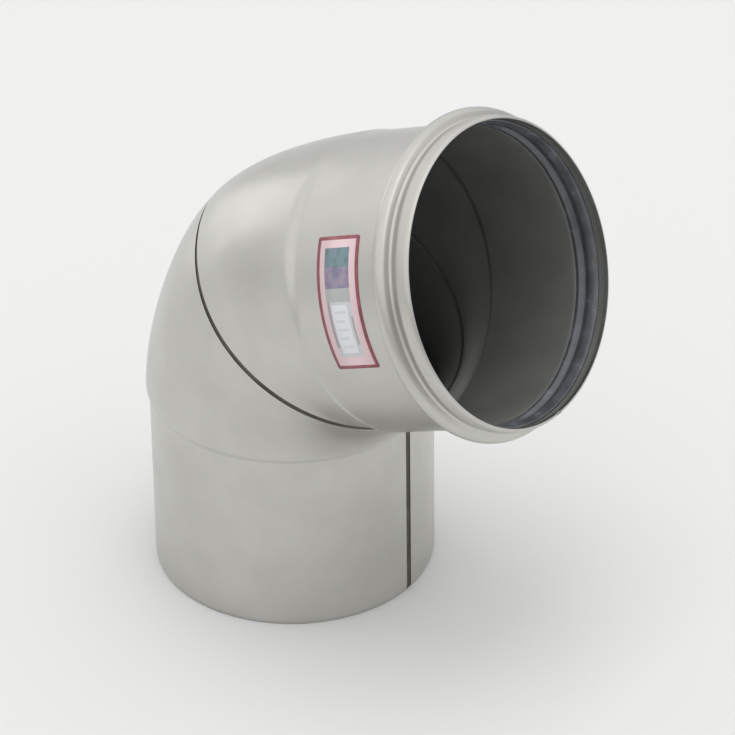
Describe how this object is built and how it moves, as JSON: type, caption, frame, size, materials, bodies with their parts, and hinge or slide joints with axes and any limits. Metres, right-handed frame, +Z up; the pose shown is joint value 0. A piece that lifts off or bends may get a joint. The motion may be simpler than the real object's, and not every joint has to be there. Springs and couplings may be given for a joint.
{
  "type": "flue elbow",
  "caption": "Single-wall metal flue elbow with a plain spigot, an oblique welded joint and a socket with a seal chamber and lip seal.",
  "frame": {"origin": "centre of the spigot's end, which is the face the elbow stands on", "axes": "+Z up the spigot's axis, +X towards the outlet, so the bend lies in the XZ plane; +Y completes a right-handed frame"},
  "size_m": [0.1622, 0.1128, 0.1948],
  "materials": {
    "sheet": "satin mill finish",
    "weld": "flush weld, dull",
    "seal": "smooth moulded",
    "label": "printed film"
  },
  "bodies": {
    "root": {"spigot_half": "sheet", "socket_half": "sheet", "spigot_seam_weld": "weld", "socket_seam_weld": "weld", "joint_weld": "weld", "seal_ring": "seal", "label": "label"}
  },
  "joints": []
}
